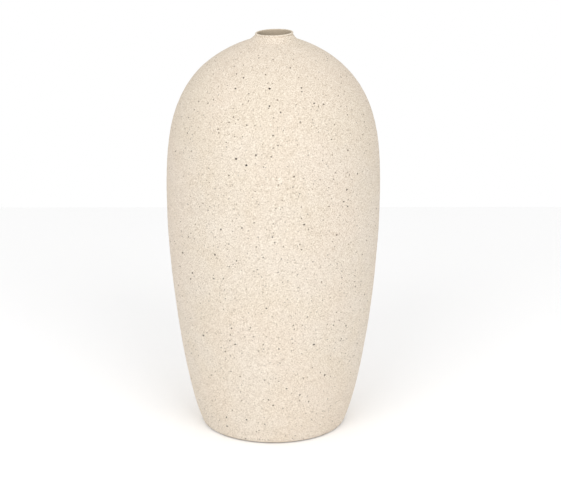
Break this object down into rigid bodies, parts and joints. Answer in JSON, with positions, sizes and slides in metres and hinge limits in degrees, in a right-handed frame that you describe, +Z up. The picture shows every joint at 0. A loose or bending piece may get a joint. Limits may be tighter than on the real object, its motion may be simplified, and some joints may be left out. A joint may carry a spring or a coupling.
{
  "type": "stoneware bottle vase",
  "caption": "Tall full-bodied stoneware vase with a domed shoulder and a very narrow short neck, for one or a few stems; matt speckled clay outside, glazed lining inside.",
  "frame": {"origin": "on the vase's axis, at the underside of the felt pads that it stands on", "axes": "+Z up along the vase's axis from the foot to the mouth; +X and +Y are level, and the four pads lie midway between them"},
  "size_m": [0.2518, 0.2518, 0.478],
  "materials": {
    "stoneware": "matt unglazed speckled cream clay with a fine sandy grain",
    "joining_slip": "matt fired slip of the same clay",
    "liner_glaze": "thin satin lining glaze",
    "felt": "pressed grey-brown wool felt"
  },
  "bodies": {
    "root": {"foot_ring": "stoneware", "base_slab": "stoneware", "corner_coil": "stoneware", "lower_wall": "stoneware", "belly_wall": "stoneware", "shoulder_dome": "stoneware", "neck_collar": "stoneware", "foot_joint_slip": "joining_slip", "base_joint_slip": "joining_slip", "belly_joint_slip": "joining_slip", "shoulder_joint_slip": "joining_slip", "neck_joint_slip": "joining_slip", "inner_glaze": "liner_glaze", "felt_pad_1": "felt", "felt_pad_2": "felt", "felt_pad_3": "felt", "felt_pad_4": "felt"}
  },
  "joints": []
}
